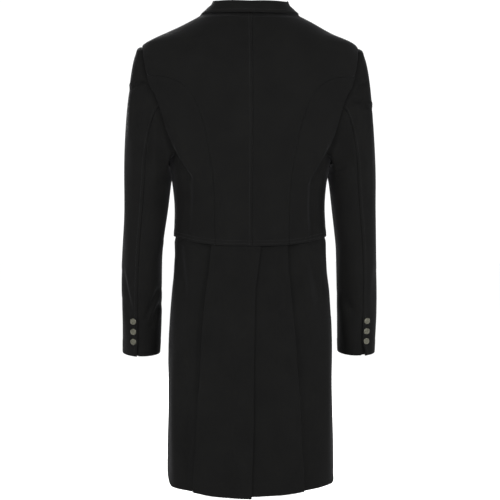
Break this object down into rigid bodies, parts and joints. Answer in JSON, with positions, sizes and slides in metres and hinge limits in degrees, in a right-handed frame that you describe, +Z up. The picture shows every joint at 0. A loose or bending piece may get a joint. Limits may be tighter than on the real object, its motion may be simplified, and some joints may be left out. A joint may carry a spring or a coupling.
{
  "type": "dressage show jacket",
  "caption": "Dark dressage show jacket in its worn, hollow shape: turned collar, shaped back, long sleeves with metal cuff buttons, waist seam and knee-length pleated tails with a centre vent.",
  "frame": {"origin": "between the shoulders at the base of the neck, where the worn jacket hangs from the shoulders", "axes": "+Z up, wearer's front faces -Y, wearer's left is +X"},
  "size_m": [0.5502, 0.2676, 1.0486],
  "materials": {
    "jacket_cloth": "matt, smooth, closely woven",
    "button_metal": "satin, dark gunmetal"
  },
  "bodies": {
    "root": {"back_l": "jacket_cloth", "back_r": "jacket_cloth", "side_back_l": "jacket_cloth", "side_back_r": "jacket_cloth", "front_l": "jacket_cloth", "front_r": "jacket_cloth", "lapel_l": "jacket_cloth", "lapel_r": "jacket_cloth", "collar": "jacket_cloth", "upper_sleeve_l": "jacket_cloth", "upper_sleeve_r": "jacket_cloth", "under_sleeve_l": "jacket_cloth", "under_sleeve_r": "jacket_cloth", "tail_centre_l": "jacket_cloth", "tail_centre_r": "jacket_cloth", "tail_side_l": "jacket_cloth", "tail_side_r": "jacket_cloth", "cuff_button_l1": "button_metal", "cuff_button_l2": "button_metal", "cuff_button_l3": "button_metal", "cuff_button_r1": "button_metal", "cuff_button_r2": "button_metal", "cuff_button_r3": "button_metal", "front_button_l1": "button_metal", "front_button_l2": "button_metal", "front_button_l3": "button_metal", "front_button_r1": "button_metal", "front_button_r2": "button_metal", "front_button_r3": "button_metal"}
  },
  "joints": []
}
